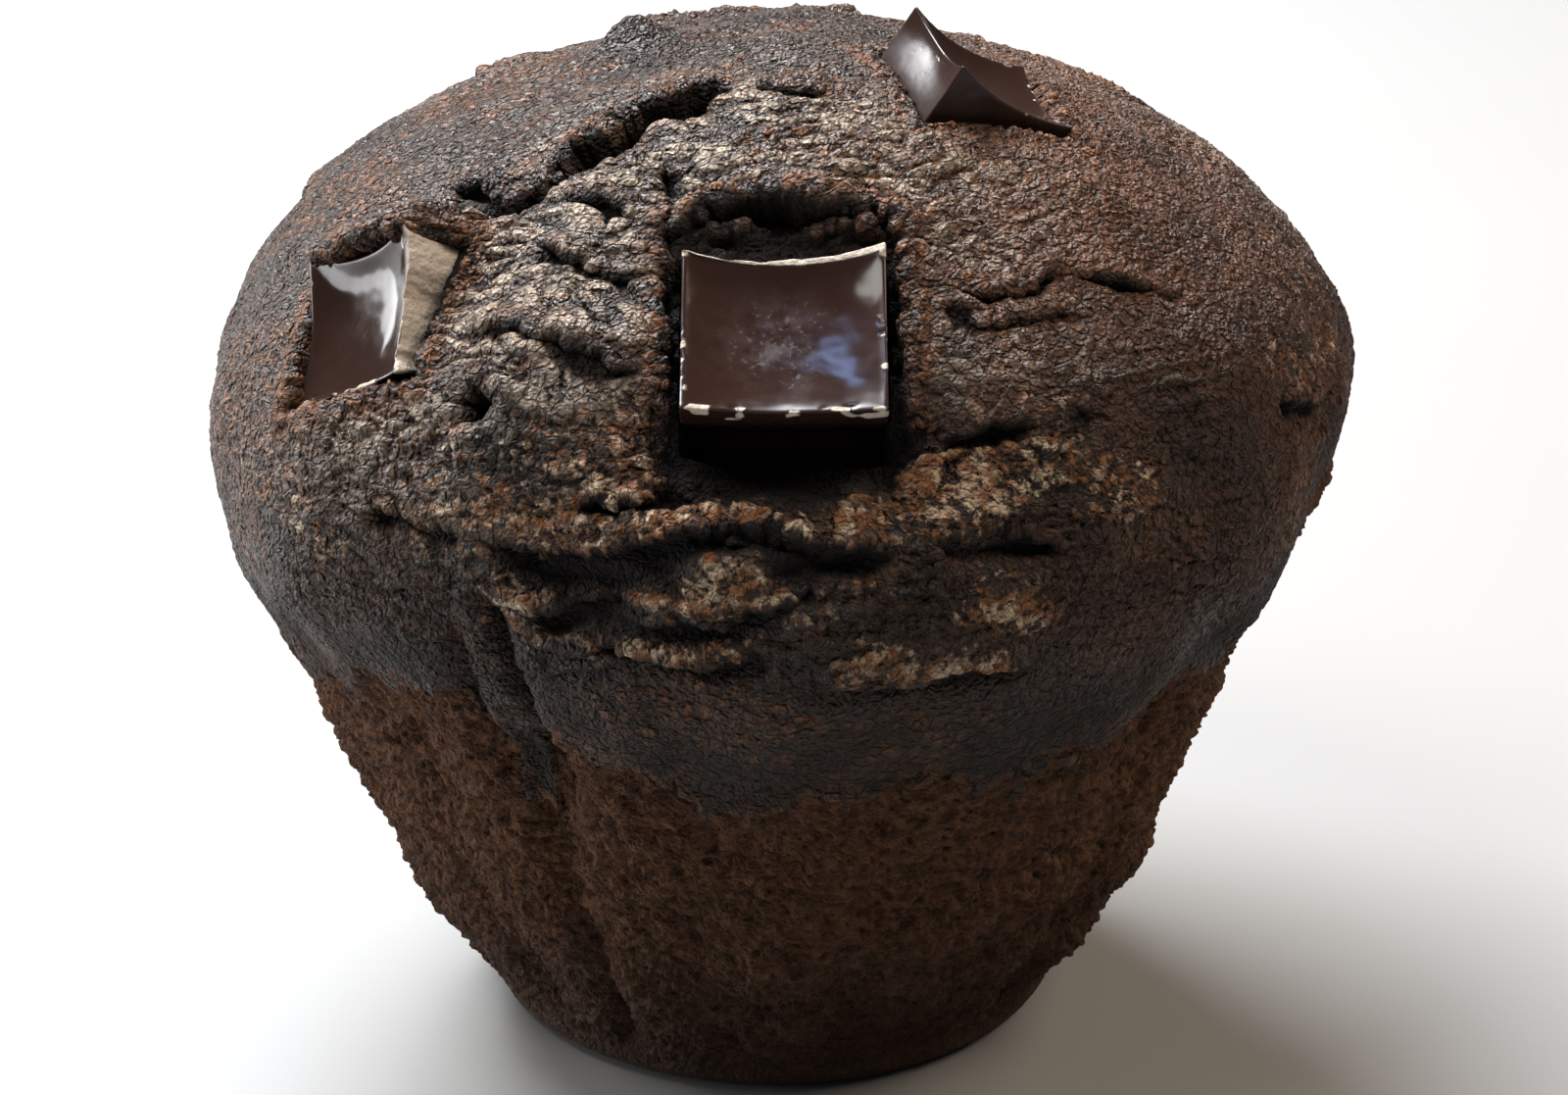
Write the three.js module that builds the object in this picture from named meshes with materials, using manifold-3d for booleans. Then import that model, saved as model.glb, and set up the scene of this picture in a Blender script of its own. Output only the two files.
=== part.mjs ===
// A chocolate-chunk muffin, baked in a pleated paper case that has been peeled off.
// Millimetres, +Z up. The origin is the centre of the base, and the front faces -Y.
// The cake is one baked piece; each chocolate chunk is a solid of its own, seated in a pocket of it.
import * as THREE from "three";
import { mergeVertices } from "three/addons/utils/BufferGeometryUtils.js";
import Module from "manifold-3d";

const wasm = await Module();
wasm.setup();

// The cake's driving dimensions.
const BASE_RADIUS = 21.6; // where the wall meets the base
const BASE_ROUND = 3; // rounded edge under the wall
const RIM_RADIUS = 35.2; // top of the wall, under the crust's lip
const RIM_HEIGHT = 32.5;
const WALL_BULGE = 1.5; // the soft wall swells by this half-way up
const CROWN_RADIUS = 41; // widest part of the crown
const CROWN_HEIGHT = 46.8; // height of that widest part
const CAKE_HEIGHT = 72.4;
const CROWN_FULLNESS = 1.13; // power on the crown's cosine: 1 is an ellipse
const LIP_ANGLE = -0.47; // the crown's arc starts this far below its widest part, in radians
const LEAN = 0.045; // the crown's edge rises by this share of x towards +X
const SUMMIT_LEAN = 0.5; // and the summit by this share of that
const AROUND = 80; // facets round the cake
const UP_CROWN = 22; // facets from the lip to the summit
const UP_WALL = 9;

// The rise was uneven: gentle lobes round the crown, as [waves, share of the radius, phase in degrees].
const LOBES = [
  [2, 0.008, 20],
  [4, 0.006, 70],
];

// Soft rises and dips that the bake left, as [place near the surface, spread, amount outwards].
const SWELLS = [
  [[17, 7, 70], 9, -1.3],
  [[-41, -5, 45], 9, -0.8],
  [[38.5, -12, 39], 6, -1.9],
  [[31, -8, 19], 5, -0.7],
];
const HEART = new THREE.Vector3(0, 0, 35); // swells push away from this point

// The paper's pleats pressed these grooves down the wall, as [azimuth in degrees, depth, width in degrees].
const PLEATS = [
  [-34, 1.6, 5],
  [48, 0.9, 5],
  [118, 1.1, 6],
  [-152, 1.2, 6],
  [-88, 0.8, 5],
];

// The crust split along this line as the crown rose, as [azimuth, crown angle] in degrees.
const CRACK = [
  [-56, 49],
  [-46, 49],
  [-39, 49],
  [-36, 56],
  [-31, 65],
  [-14, 70],
  [5, 72],
  [27, 72],
];
const CRACK_WIDTH = 2.2;
const CRACK_DEPTH = 3;

// One steam hole in the crust, and the hollow that the crust left as it sank away under the front chunk.
const VENT = { azimuth: -30, angle: 24, radius: 1.1 };
const HOLLOW = { center: [0.8, -38.2, 57], radii: [8.2, 3.4, 3] };

// Chocolate chunks. Azimuth 0 is the front and grows towards +X; face is the middle of the open face;
// azimuth and elevation give the way it looks, and spin turns the chunk about that line.
const CHUNKS = [
  { name: "chunk_front", face: [0.8, -32.9, 62.2], azimuth: 0, elevation: 56, spin: 0, size: [13, 13, 6.5] },
  { name: "chunk_left", face: [-27.5, -21.7, 59.2], azimuth: -54, elevation: 27, spin: 29, size: [10.3, 10.4, 5.5] },
  { name: "chunk_top_right", face: [14.9, -6.1, 71.5], azimuth: 92, elevation: 57, spin: 17, size: [10.5, 9.9, 4.5] },
  { name: "chunk_back", face: [9.3, 34.6, 59.6], azimuth: 165, elevation: 41, spin: 28, size: [12, 11.4, 6] },
  { name: "chunk_back_left", face: [-24.5, 29.1, 55.8], azimuth: -140, elevation: 34, spin: -16, size: [11, 10.6, 5.5] },
];
const CHUNK_SAG = 1.1; // the face sank in the middle as the chocolate melted and set again
const CHUNK_HORN = 0.9; // its corners stand up by this
const CHUNK_TAPER = 0.1; // share by which a chunk narrows towards its back
const CLEARANCE = 0.3; // between a chunk and its pocket
const POCKET_REACH = 9; // a pocket is cut this far out past the chunk's face

const CRUST = { color: 0x2e1d14, roughness: 0.5, metalness: 0 };
const CHOCOLATE = { color: 0x2a1712, roughness: 0.25, metalness: 0 };

const radians = THREE.MathUtils.degToRad;
const smooth = (low, high, x) => THREE.MathUtils.smoothstep(x, low, high);

// The direction that an azimuth and an elevation in degrees name.
function heading(azimuth, elevation) {
  const a = radians(azimuth);
  const e = radians(elevation);
  return new THREE.Vector3(Math.sin(a) * Math.cos(e), -Math.cos(a) * Math.cos(e), Math.sin(e));
}

// The crown's half outline at an angle above its widest part, as (radius, height).
function crownOutline(angle) {
  const rise = CAKE_HEIGHT - CROWN_HEIGHT;
  const drop = (CROWN_HEIGHT - RIM_HEIGHT) / Math.sin(-LIP_ANGLE);
  const radius = CROWN_RADIUS * Math.cos(angle) ** CROWN_FULLNESS;
  return new THREE.Vector2(radius, CROWN_HEIGHT + (angle > 0 ? rise : drop) * Math.sin(angle));
}

// The whole half outline, from the middle of the base, out, up the wall and over the crown.
function cakeOutline() {
  const points = [new THREE.Vector2(0, 0), new THREE.Vector2(BASE_RADIUS / 2, 0)];
  for (let i = 0; i <= 3; i++) {
    const turn = (i / 3) * radians(65);
    points.push(
      new THREE.Vector2(
        BASE_RADIUS - BASE_ROUND + BASE_ROUND * Math.sin(turn),
        BASE_ROUND * (1 - Math.cos(turn)),
      ),
    );
  }
  for (let i = 1; i <= UP_WALL; i++) {
    const up = i / UP_WALL;
    points.push(
      new THREE.Vector2(
        BASE_RADIUS + (RIM_RADIUS - BASE_RADIUS) * up + WALL_BULGE * Math.sin(Math.PI * up),
        BASE_ROUND + (RIM_HEIGHT - 1 - BASE_ROUND) * up,
      ),
    );
  }
  for (let i = 0; i < UP_CROWN; i++) {
    points.push(crownOutline(LIP_ANGLE + ((Math.PI / 2 - LIP_ANGLE) * i) / UP_CROWN));
  }
  points.push(new THREE.Vector2(0, CAKE_HEIGHT));
  return points;
}

// How the uneven rise, the lean, the pleats and the swells move a point of the turned shape.
function risen(point) {
  const radius = Math.hypot(point.x, point.y);
  const azimuth = Math.atan2(point.x, -point.y);
  const crown = smooth(RIM_HEIGHT * 0.5, CROWN_HEIGHT, point.z);
  let share = 1;
  for (const [waves, amount, phase] of LOBES) {
    share += amount * crown * Math.cos(waves * (azimuth - radians(phase)));
  }
  const wall = smooth(0, 8, point.z) * (1 - smooth(RIM_HEIGHT - 2, CROWN_HEIGHT, point.z));
  let groove = 0;
  for (const [at, depth, width] of PLEATS) {
    const off = Math.atan2(Math.sin(azimuth - radians(at)), Math.cos(azimuth - radians(at)));
    groove += depth * Math.exp(-((off / radians(width)) ** 2));
  }
  const moved = radius > 0 ? share - (wall * groove) / radius : 1;
  const lean = LEAN * THREE.MathUtils.lerp(1, SUMMIT_LEAN, smooth(CROWN_HEIGHT, CAKE_HEIGHT, point.z));
  const place = new THREE.Vector3(point.x * moved, point.y * moved, point.z + lean * point.x * crown);
  const outward = place.clone().sub(HEART).normalize();
  let lift = 0;
  for (const [near, spread, amount] of SWELLS) {
    lift += amount * Math.exp(-((place.distanceTo(new THREE.Vector3(...near)) / spread) ** 2));
  }
  return place.addScaledVector(outward, lift * smooth(2, 8, point.z));
}

// A point on the crown's crust.
function onCrown([azimuth, angle]) {
  const at = crownOutline(radians(angle));
  const a = radians(azimuth);
  return risen(new THREE.Vector3(at.x * Math.sin(a), -at.x * Math.cos(a), at.y));
}

// A closed three.js geometry as a solid that can be cut.
function solidOf(geometry) {
  const bare = geometry.clone();
  bare.deleteAttribute("normal");
  bare.deleteAttribute("uv");
  const merged = mergeVertices(bare, 1e-3);
  return new wasm.Manifold(
    new wasm.Mesh({
      numProp: 3,
      vertProperties: merged.attributes.position.array,
      triVerts: new Uint32Array(merged.index.array),
    }),
  );
}

// And back to a three.js geometry.
function geometryOf(solid) {
  const mesh = solid.getMesh();
  const geometry = new THREE.BufferGeometry();
  geometry.setAttribute("position", new THREE.BufferAttribute(mesh.vertProperties, 3));
  geometry.setIndex(new THREE.BufferAttribute(mesh.triVerts, 1));
  geometry.computeVertexNormals();
  return geometry;
}

// Where a chunk sits: its face in the XY plane of this matrix, looking along its Z.
function chunkPlace({ face, azimuth, elevation, spin }) {
  const outward = heading(azimuth, elevation);
  const across = new THREE.Vector3(-outward.y, outward.x, 0).normalize();
  const along = new THREE.Vector3().crossVectors(outward, across);
  const turned = new THREE.Matrix4().makeBasis(across, along, outward);
  return turned.multiply(new THREE.Matrix4().makeRotationZ(radians(spin))).setPosition(...face);
}

// A chunk as it set: a block with a sunken face, standing corners and sides that draw in.
function chunkGeometry([width, depth, thickness]) {
  const block = new THREE.BoxGeometry(width, depth, thickness, 6, 6, 2);
  block.translate(0, 0, -thickness / 2);
  const place = block.attributes.position;
  for (let i = 0; i < place.count; i++) {
    const [x, y, z] = [place.getX(i), place.getY(i), place.getZ(i)];
    const [u, v] = [(2 * x) / width, (2 * y) / depth];
    const below = -z / thickness;
    const narrow = 1 - CHUNK_TAPER * below;
    const face = CHUNK_HORN * (u * v) ** 2 - CHUNK_SAG * (1 - u * u) * (1 - v * v);
    place.setXYZ(i, x * narrow, y * narrow, z + face * (1 - smooth(0, 0.6, below)));
  }
  return block;
}

// The room that a chunk's pocket takes out of the cake.
function pocketGeometry([width, depth, thickness]) {
  const tall = thickness + CLEARANCE + POCKET_REACH;
  const pocket = new THREE.BoxGeometry(width + 2 * CLEARANCE, depth + 2 * CLEARANCE, tall);
  return pocket.translate(0, 0, POCKET_REACH - tall / 2);
}

// The split in the crust, a diamond section swept along its line.
function crackGeometry() {
  const line = new THREE.CatmullRomCurve3(CRACK.map(onCrown));
  const section = new THREE.Shape([
    new THREE.Vector2(-CRACK_DEPTH, 0),
    new THREE.Vector2(0, -CRACK_WIDTH / 2),
    new THREE.Vector2(CRACK_DEPTH, 0),
    new THREE.Vector2(0, CRACK_WIDTH / 2),
  ]);
  return new THREE.ExtrudeGeometry(section, { steps: 20, extrudePath: line, bevelEnabled: false });
}

// The baked cake, turned, swollen, split and pitted with the chunks' pockets.
function cakeMesh() {
  const turned = new THREE.LatheGeometry(cakeOutline(), AROUND);
  turned.rotateX(Math.PI / 2);
  const place = turned.attributes.position;
  const point = new THREE.Vector3();
  for (let i = 0; i < place.count; i++) {
    const moved = risen(point.fromBufferAttribute(place, i));
    place.setXYZ(i, moved.x, moved.y, moved.z);
  }
  let cake = solidOf(turned);
  cake = cake.subtract(solidOf(crackGeometry()));
  const vent = new THREE.SphereGeometry(VENT.radius, 12, 8);
  vent.translate(...onCrown([VENT.azimuth, VENT.angle]).toArray());
  cake = cake.subtract(solidOf(vent));
  const hollow = new THREE.SphereGeometry(1, 24, 12);
  hollow.scale(...HOLLOW.radii).translate(...HOLLOW.center);
  cake = cake.subtract(solidOf(hollow));
  for (const chunk of CHUNKS) {
    cake = cake.subtract(solidOf(pocketGeometry(chunk.size).applyMatrix4(chunkPlace(chunk))));
  }
  const mesh = new THREE.Mesh(geometryOf(cake), new THREE.MeshStandardMaterial(CRUST));
  mesh.name = "cake";
  return mesh;
}

function chunkMesh(chunk) {
  const mesh = new THREE.Mesh(chunkGeometry(chunk.size), new THREE.MeshStandardMaterial(CHOCOLATE));
  mesh.name = chunk.name;
  mesh.applyMatrix4(chunkPlace(chunk));
  return mesh;
}

const muffin = new THREE.Group();
muffin.add(cakeMesh());
for (const chunk of CHUNKS) muffin.add(chunkMesh(chunk));

export default muffin;
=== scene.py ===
"""The looks of a chocolate-chunk muffin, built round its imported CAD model.

Shapes are worked out in millimetres. Azimuth 0 is the front and grows towards +X.
"""

from concurrent.futures import ThreadPoolExecutor
from types import SimpleNamespace

import bpy
import numpy as np
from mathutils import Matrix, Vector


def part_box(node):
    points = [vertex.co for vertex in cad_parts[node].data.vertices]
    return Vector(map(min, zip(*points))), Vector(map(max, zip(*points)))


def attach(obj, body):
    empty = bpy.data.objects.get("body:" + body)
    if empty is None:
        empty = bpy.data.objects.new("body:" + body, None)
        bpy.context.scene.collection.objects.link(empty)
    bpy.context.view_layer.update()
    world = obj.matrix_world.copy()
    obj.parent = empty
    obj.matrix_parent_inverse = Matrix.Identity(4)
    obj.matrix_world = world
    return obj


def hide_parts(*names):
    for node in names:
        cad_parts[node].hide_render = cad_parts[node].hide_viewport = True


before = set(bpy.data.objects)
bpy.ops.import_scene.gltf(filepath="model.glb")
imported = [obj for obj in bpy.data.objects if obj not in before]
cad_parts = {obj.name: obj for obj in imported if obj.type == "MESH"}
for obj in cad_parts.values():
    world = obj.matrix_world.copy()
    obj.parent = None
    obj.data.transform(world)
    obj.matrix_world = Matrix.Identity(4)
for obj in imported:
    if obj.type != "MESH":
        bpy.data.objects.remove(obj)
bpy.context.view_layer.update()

# --- The chocolate chunks -------------------------------------------------------------------------
# Squares of dark baking chocolate, stirred into the batter. In the oven each one softened, sank in
# the middle and kept its corners, then set with a gloss. Where one was snapped from the bar it is
# pale and dull; that pale is partly its own colour and partly a painted highlight, and pale
# highlights are painted along its rim.

MM = 0.001
CHUNK_CELLS = 80
EDGE_ROUND = 0.18

# The melted face: how square its hollow is, how far the rim drops between the corners, how far the
# upper edge sagged, how far the lower side drew in under the face, and a slight wave.
DISH_POWER = 2.6
RIM_DROP = 0.25
UPPER_SAG = 0.9
UNDERCUT = 0.5
FACE_WAVE = dict(size=5.0, height=0.12)
CHIPS = dict(size=1.2, depth=0.35)
SIDE_GRAIN = dict(size=1.5, height=0.03)

# A snapped side: its broad and fine steps, as (size, height), and how far they stand out in all.
BROAD_STEPS = ((9, 3.0, 9), 1.4)
FINE_STEPS = ((4, 0.8, 4), 0.6)
STEPS_STAND = 0.5

# face is the middle of the open face, azimuth and elevation give the way it looks, and spin turns
# the chunk about that line. sag is how far the middle sank and horn how far the corners stand up.
# snapped names the sides that are broken surfaces, in the chunk's own axes. haze is how much bloom
# dulls the middle of the face, and the last setting tells whether the whole upper rim is painted pale,
# as the snapped colour and a painted highlight.
CHUNKS = {
    "chunk_front": dict(
        face=(0.8, -32.9, 62.2), azimuth=0, elevation=56, spin=0, size=(13.0, 13.0, 6.5),
        sag=1.0, horn=0.6, snapped=("up",), haze=0.8, pale_upper_rim=True,
    ),
    "chunk_left": dict(
        face=(-27.5, -21.7, 59.2), azimuth=-54, elevation=27, spin=29, size=(10.3, 10.4, 5.5),
        sag=1.1, horn=0.6, snapped=("right",), haze=0.2, pale_upper_rim=False,
    ),
    "chunk_top_right": dict(
        face=(14.9, -6.1, 71.5), azimuth=92, elevation=57, spin=17, size=(10.5, 9.9, 4.5),
        sag=1.3, horn=0.9, snapped=(), haze=0.2, pale_upper_rim=False,
    ),
    "chunk_back": dict(
        face=(9.3, 34.6, 59.6), azimuth=165, elevation=41, spin=28, size=(12.0, 11.4, 6.0),
        sag=1.2, horn=0.7, snapped=("up",), haze=0.6, pale_upper_rim=True,
    ),
    "chunk_back_left": dict(
        face=(-24.5, 29.1, 55.8), azimuth=-140, elevation=34, spin=-16, size=(11.0, 10.6, 5.5),
        sag=1.1, horn=0.7, snapped=("right",), haze=0.4, pale_upper_rim=False,
    ),
}


def cube_lattice(cells):
    """The points of a grid on a cube's surface, from -1 to 1, its squares, and a flat map of them."""
    steps = np.arange(cells + 1)
    keys, squares, maps = [], [], []
    for axis in range(3):
        for side in (0, cells):
            a, b = np.meshgrid(steps, steps, indexing="ij")
            corner = np.empty((cells + 1, cells + 1, 3), np.int64)
            corner[..., axis] = side
            corner[..., (axis + 1) % 3] = a
            corner[..., (axis + 2) % 3] = b
            key = (corner[..., 0] * (cells + 1) + corner[..., 1]) * (cells + 1) + corner[..., 2]
            square = np.stack([key[:-1, :-1], key[1:, :-1], key[1:, 1:], key[:-1, 1:]], -1)
            # The six sides lie on the flat map in three columns and two rows, a little apart.
            tile = np.stack([a, b], -1) / cells * 0.98 + 0.01
            tile = (tile + (axis, side // cells)) / (3, 2)
            flat = np.stack([tile[:-1, :-1], tile[1:, :-1], tile[1:, 1:], tile[:-1, 1:]], -2)
            if side == 0:
                square, flat = square[..., ::-1], flat[..., ::-1, :]
            keys.append(key.ravel())
            squares.append(square.reshape(-1, 4))
            maps.append(flat.reshape(-1, 2))
    kept = np.unique(np.concatenate(keys))
    lattice = np.stack(
        [kept // (cells + 1) ** 2, kept // (cells + 1) % (cells + 1), kept % (cells + 1)], -1
    )
    renumber = np.searchsorted(kept, np.concatenate(squares))
    return lattice / cells * 2.0 - 1.0, renumber, np.concatenate(maps)


# Random numbers from 0 to 255 and random slopes, picked from by the noise below.
shuffle = np.random.default_rng(7).permutation(256).astype(np.int32)
slopes = np.random.default_rng(11).normal(size=(256, 3))
slopes = (slopes / np.linalg.norm(slopes, axis=1)[:, None]).astype(np.float32)
SEED_STEP = 37
NOISE_HEIGHT = 1.7
workers = ThreadPoolExecutor(4)


def hills(place, seed):
    """Gradient noise with one hill to each unit of length."""
    cell = np.floor(place)
    part = place - cell
    at = cell.astype(np.int32) + seed * SEED_STEP
    ease = part**3 * (part * (part * 6 - 15) + 10)
    total = np.zeros(len(place), np.float32)
    for i, j, k in np.ndindex(2, 2, 2):
        mark = shuffle[(at[:, 0] + i) & 255]
        mark = shuffle[(mark + at[:, 1] + j) & 255]
        mark = shuffle[(mark + at[:, 2] + k) & 255]
        weight = np.ones(len(place), np.float32)
        slope = np.zeros(len(place), np.float32)
        for axis, corner in enumerate((i, j, k)):
            weight *= ease[:, axis] if corner else 1 - ease[:, axis]
            slope += slopes[mark, axis] * (part[:, axis] - corner)
        total += weight * slope
    return total * NOISE_HEIGHT


def lumps(place, size, seed):
    """Smooth random hills between about -1 and 1, one to each size (a number, or one to an axis)."""
    parts = np.array_split((np.asarray(place) / size).astype(np.float32), 16)
    return np.concatenate(list(workers.map(lambda part: hills(part, seed), parts)))


def grain(place, size, seed, octaves=3):
    """Lumps with finer lumps on them."""
    total = sum(lumps(place, np.asarray(size) / 2**i, seed + i) / 2**i for i in range(octaves))
    return total / sum(1 / 2**i for i in range(octaves))


def smooth(low, high, x):
    """An eased climb from 0 where x is low to 1 where x is high; low may be above high."""
    x = np.clip((np.asarray(x) - low) / (high - low), 0, 1)
    return x * x * (3 - 2 * x)


def heading(azimuth, elevation):
    """The direction at an azimuth and an elevation in degrees."""
    a, e = np.radians([azimuth, elevation])
    return np.array([np.sin(a) * np.cos(e), -np.cos(a) * np.cos(e), np.sin(e)])


def chunk_axes(chunk):
    """The chunk's own right, up and outward directions, as the rows of a matrix."""
    outward = heading(chunk["azimuth"], chunk["elevation"])
    across = np.array([-outward[1], outward[0], 0.0])
    across /= np.linalg.norm(across)
    along = np.cross(outward, across)
    c, s = np.cos(np.radians(chunk["spin"])), np.sin(np.radians(chunk["spin"]))
    return np.array([across * c + along * s, along * c - across * s, outward])


def new_piece(name, place, squares, flat_map, values):
    """A smooth-shaded mesh object from points in millimetres, with a named number at every point."""
    mesh = bpy.data.meshes.new(name)
    mesh.vertices.add(len(place))
    mesh.vertices.foreach_set("co", (place * MM).astype(np.float32).ravel())
    mesh.loops.add(squares.size)
    mesh.loops.foreach_set("vertex_index", squares.astype(np.int32).ravel())
    mesh.polygons.add(len(squares))
    mesh.polygons.foreach_set("loop_start", np.arange(0, squares.size, 4, dtype=np.int32))
    mesh.polygons.foreach_set("use_smooth", np.ones(len(squares), bool))
    mesh.uv_layers.new(name="OFBake").data.foreach_set("uv", flat_map.astype(np.float32).ravel())
    for label, numbers in values.items():
        layer = mesh.attributes.new(label, "FLOAT", "POINT")
        layer.data.foreach_set("value", np.asarray(numbers, np.float32))
    mesh.update(calc_edges=True)
    mesh.validate()
    piece = bpy.data.objects.new(name, mesh)
    bpy.context.scene.collection.objects.link(piece)
    return piece


def chunk_piece(name, chunk, seed):
    """One chunk: a rounded block, melted on its open face and stepped on its snapped sides."""
    lattice, squares, flat_map = cube_lattice(CHUNK_CELLS)
    half = np.array(chunk["size"]) / 2
    block = lattice * half
    core = np.clip(block, -(half - EDGE_ROUND), half - EDGE_ROUND)
    skin = block - core
    block = core + EDGE_ROUND * skin / np.linalg.norm(skin, axis=1)[:, None]
    u, v = block[:, 0] / half[0], block[:, 1] / half[1]
    face = smooth(-0.6, 0.9, block[:, 2] / half[2])
    side = np.maximum(np.abs(u), np.abs(v))

    # The middle sank, the corners stayed up, and the rim between them dropped a little.
    dish = (1 - np.abs(u) ** DISH_POWER) * (1 - np.abs(v) ** DISH_POWER)
    lift = chunk["horn"] * (u * v) ** 2 - chunk["sag"] * dish - RIM_DROP * (1 - dish)
    lift += FACE_WAVE["height"] * lumps(block, FACE_WAVE["size"], seed) * side
    rim = smooth(0.88, 0.98, side)
    chips = smooth(0.25, 0.8, grain(block, CHIPS["size"], seed + 3)) * rim
    block[:, 2] += face * (lift - CHIPS["depth"] * chips)

    # The upper edge sagged in the middle, and the lower side drew in under the face.
    block[:, 1] -= UPPER_SAG * (1 - u**2) * smooth(0.3, 1.0, v) * face
    depth = half[2] - lattice[:, 2] * half[2]
    block[:, 1] += UNDERCUT * depth * smooth(-0.7, -1.0, v) * (1 - 0.5 * face)

    broken = np.zeros(len(block))
    for way in chunk["snapped"]:
        axis = {"right": 0, "up": 1}[way]
        on_side = smooth(0.93, 0.985, lattice[:, axis]) * smooth(-0.9, -0.5, lattice[:, 2])
        steps = BROAD_STEPS[1] * lumps(block, BROAD_STEPS[0], seed + 5)
        steps = steps + FINE_STEPS[1] * grain(block, FINE_STEPS[0], seed + 6)
        block[:, axis] += on_side * STEPS_STAND * steps
        broken = np.maximum(broken, on_side * smooth(1.02, 0.98, np.abs(lattice[:, 2]) * 0.99))
    gritty = SIDE_GRAIN["height"] * grain(block, SIDE_GRAIN["size"], seed + 8)
    block += gritty[:, None] * (1 - face[:, None])
    block[:, 2] -= half[2]
    place = block @ chunk_axes(chunk) + chunk["face"]

    # Bloom dulls the middle of the face. The rim is painted pale along a broken upper edge, partly its
    # snapped colour and partly a painted highlight, and in patches along the lower one, which are
    # painted highlights.
    haze = chunk["haze"] * np.exp(-((u + 0.05) ** 2 + (v + 0.1) ** 2) / 0.25) * face
    upper_rim_and_highlight = smooth(0.78, 0.95, v) * chunk["pale_upper_rim"]
    patches = smooth(0.0, 0.35, grain(block, 2.2, seed + 9))
    lower_rim_highlight = patches * smooth(0.72, 0.95, side) * smooth(0.5, -0.5, v)
    pale = rim * smooth(0.3, 0.8, lattice[:, 2]) * (upper_rim_and_highlight + lower_rim_highlight)
    edge = smooth(0.90, 0.96, side)
    marks = {"broken": broken, "haze": haze, "face": face, "edge": edge, "rim": pale}
    piece = new_piece(name + "_chocolate", place, squares, flat_map, marks)
    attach(piece, "root")
    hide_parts(name)
    return piece


class Shader:
    """A short way to lay out a material's nodes."""

    def __init__(self, name):
        self.material = bpy.data.materials.new(name)
        self.material.use_nodes = True
        self.nodes = self.material.node_tree.nodes
        self.links = self.material.node_tree.links
        self.skin = self.nodes["Principled BSDF"]

    def put(self, socket, value):
        """Link a socket to another one, or set it to a plain value."""
        if isinstance(value, bpy.types.NodeSocket):
            self.links.new(value, socket)
        elif value is not None:
            socket.default_value = value

    def node(self, kind, **sockets):
        """A new node, with the named sockets linked or set."""
        node = self.nodes.new("ShaderNode" + kind)
        for name, value in sockets.items():
            self.put(node.inputs[name], value)
        return node

    def place(self):
        return self.node("TexCoord").outputs["Object"]

    def value(self, name):
        """A named number of the mesh."""
        node = self.node("Attribute")
        node.attribute_name = name
        return node.outputs["Fac"]

    def speckle(self, scale, detail=3.0, roughness=0.5):
        """Noise over the object, scale lumps to a metre."""
        place = self.place()
        noise = self.node("TexNoise", Scale=scale, Detail=detail, Roughness=roughness, Vector=place)
        return noise.outputs["Fac"]

    def cells(self, scale, feature="F1", bend=0.0):
        """Cells, scale of them to a metre, bent out of shape by up to bend of a metre."""
        place = self.place()
        if bend:
            wave = self.node("TexNoise", Scale=scale * 0.7, Vector=place)
            moved = self.node("VectorMath")
            moved.operation = "MULTIPLY_ADD"
            shift = (wave.outputs["Color"], (bend, bend, bend), place)
            for socket, value in zip(moved.inputs, shift):
                self.put(socket, value)
            place = moved.outputs[0]
        node = self.node("TexVoronoi", Scale=scale, Vector=place)
        node.feature = feature
        return node.outputs["Distance"]

    def math(self, operation, a, b):
        node = self.node("Math")
        node.operation = operation
        self.put(node.inputs[0], a)
        self.put(node.inputs[1], b)
        return node.outputs[0]

    def add(self, a, b):
        return self.math("ADD", a, b)

    def times(self, a, b):
        return self.math("MULTIPLY", a, b)

    def ramp(self, x, low, high, to_low=0.0, to_high=1.0):
        """An eased climb from to_low where x is low to to_high where x is high."""
        node = self.node("MapRange")
        node.interpolation_type = "SMOOTHSTEP"
        for socket, value in zip(node.inputs, (x, low, high, to_low, to_high)):
            self.put(socket, value)
        return node.outputs[0]

    def mix(self, share, a, b):
        """Colour a, with a share of colour b."""
        node = self.node("Mix")
        node.data_type = "RGBA"
        self.put(node.inputs["Factor"], share)
        self.put(node.inputs["A"], a)
        self.put(node.inputs["B"], b)
        return node.outputs["Result"]

    def bump(self, height, distance, strength=1.0, under=None):
        """Relief for the light alone, on top of other relief where that is given."""
        node = self.node("Bump", Height=height, Distance=distance, Strength=strength, Normal=under)
        return node.outputs["Normal"]

    def finish(self, **sockets):
        """Set the shader's own sockets and hand the material over."""
        for name, value in sockets.items():
            self.put(self.skin.inputs[name.replace("_", " ")], value)
        return self.material


def tint(red, green, blue):
    return (red, green, blue, 1.0)


CHOCOLATE_IOR = 1.4
MELTED_TINTS = tint(0.020, 0.0095, 0.007), tint(0.032, 0.015, 0.011)
BLOOM_TINT = tint(0.062, 0.042, 0.036)
# The pale tints are the snapped chocolate's colour, and also paint highlights on snapped sides and
# rims.
SNAPPED_AND_HIGHLIGHT_TINTS = tint(0.36, 0.29, 0.23), tint(0.78, 0.70, 0.60)
GLOSSY, BLOOMED = 0.14, 0.42
SNAPPED_DULLER = 0.5
SIDE_DULLER = 0.20
EDGE_DULLER = 0.08
CHOCOLATE_BUMP = 0.0004


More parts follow.
